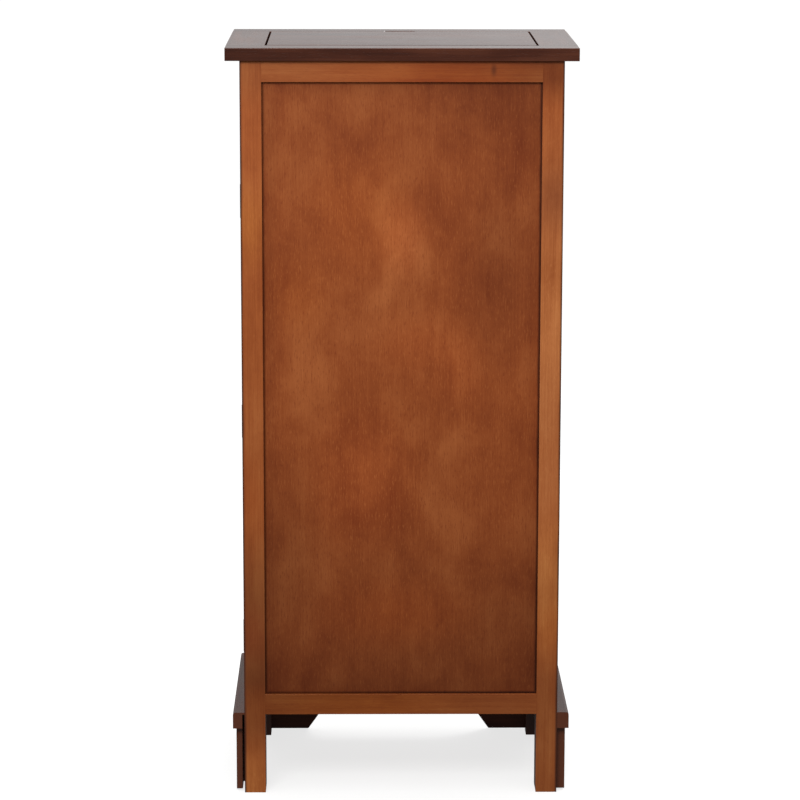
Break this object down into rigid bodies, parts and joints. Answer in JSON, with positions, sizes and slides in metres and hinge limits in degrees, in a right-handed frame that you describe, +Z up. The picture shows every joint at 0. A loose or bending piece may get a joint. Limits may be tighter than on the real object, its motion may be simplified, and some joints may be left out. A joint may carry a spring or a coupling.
{
  "type": "jewelry armoire",
  "caption": "Free-standing jewelry cabinet on bracket feet with a flip-up mirrored lid, a stack of drawers and two swing-out side doors with necklace hooks.",
  "frame": {"origin": "on the floor under the middle of the top", "axes": "+Z up, -Y the front with the drawers, +X to the right seen from the front"},
  "size_m": [0.464, 0.32, 1.016],
  "materials": {
    "espresso_wood": "dark espresso stain under satin lacquer",
    "back_frame_wood": "orange-brown stain, thin satin lacquer",
    "back_panel_wood": "reddish-brown blotchy stain on plywood",
    "inner_wood": "thin reddish stain",
    "velvet": "dark brown jewelry velvet",
    "bronze": "antique bronze",
    "mirror": "silvered glass",
    "magnet_steel": "nickel plate"
  },
  "bodies": {
    "case": {"rear_post_left": "back_frame_wood", "rear_post_right": "back_frame_wood", "front_post_left": "espresso_wood", "front_post_right": "espresso_wood", "rear_rails": "back_frame_wood", "back_panel": "back_panel_wood", "case_floor": "inner_wood", "tray_floor": "inner_wood", "side_bottom_rails": "espresso_wood", "tray_sides": "espresso_wood", "bay_walls": "inner_wood", "front_bottom_rail": "espresso_wood", "drawer_rails": "espresso_wood", "drawer_runners": "inner_wood", "tray_front": "espresso_wood", "tray_knobs": "bronze", "tray_lining": "velvet", "ring_rolls": "velvet", "top_rear_board": "espresso_wood", "top_front_board": "espresso_wood", "top_ends": "espresso_wood", "lid_pivot_pins": "bronze", "moulding_front": "espresso_wood", "side_mouldings": "espresso_wood", "skirt_front": "espresso_wood", "side_skirts": "espresso_wood", "post_hinge_leaves": "bronze", "door_magnets": "magnet_steel"},
    "lid": {"lid_panel": "espresso_wood", "lid_mirror": "mirror", "lid_mirror_frame": "espresso_wood"},
    "door_left": {"door_left_frame": "espresso_wood", "door_left_panel": "espresso_wood", "door_left_hooks": "bronze", "door_left_hinge_leaves": "bronze"},
    "door_right": {"door_right_frame": "espresso_wood", "door_right_panel": "espresso_wood", "door_right_hooks": "bronze", "door_right_hinge_leaves": "bronze"},
    "drawer_1": {"drawer_1_front": "espresso_wood", "drawer_1_box": "inner_wood", "drawer_1_lining": "velvet", "drawer_1_knobs": "bronze"},
    "drawer_2": {"drawer_2_front": "espresso_wood", "drawer_2_box": "inner_wood", "drawer_2_lining": "velvet", "drawer_2_knobs": "bronze"},
    "drawer_3": {"drawer_3_front": "espresso_wood", "drawer_3_box": "inner_wood", "drawer_3_lining": "velvet", "drawer_3_knobs": "bronze"},
    "drawer_4": {"drawer_4_front": "espresso_wood", "drawer_4_box": "inner_wood", "drawer_4_lining": "velvet", "drawer_4_knobs": "bronze"},
    "drawer_5": {"drawer_5_front": "espresso_wood", "drawer_5_box": "inner_wood", "drawer_5_lining": "velvet", "drawer_5_knobs": "bronze"}
  },
  "joints": [
    {"name": "lid_hinge", "type": "hinge", "parent": "case", "child": "lid", "pos_m": [0, 0.108, 1.0075], "axis": [-1, 0, 0], "range_deg": [0, 98]},
    {"name": "door_left_hinge", "type": "hinge", "parent": "case", "child": "door_left", "pos_m": [-0.213, 0.113, 0.5], "axis": [0, 0, -1], "range_deg": [0, 110]},
    {"name": "door_right_hinge", "type": "hinge", "parent": "case", "child": "door_right", "pos_m": [0.213, 0.113, 0.5], "axis": [0, 0, 1], "range_deg": [0, 110]},
    {"name": "drawer_1_slide", "type": "slide", "parent": "case", "child": "drawer_1", "axis": [0, -1, 0], "range_m": [0, 0.18]},
    {"name": "drawer_2_slide", "type": "slide", "parent": "case", "child": "drawer_2", "axis": [0, -1, 0], "range_m": [0, 0.18]},
    {"name": "drawer_3_slide", "type": "slide", "parent": "case", "child": "drawer_3", "axis": [0, -1, 0], "range_m": [0, 0.18]},
    {"name": "drawer_4_slide", "type": "slide", "parent": "case", "child": "drawer_4", "axis": [0, -1, 0], "range_m": [0, 0.18]},
    {"name": "drawer_5_slide", "type": "slide", "parent": "case", "child": "drawer_5", "axis": [0, -1, 0], "range_m": [0, 0.18]}
  ]
}
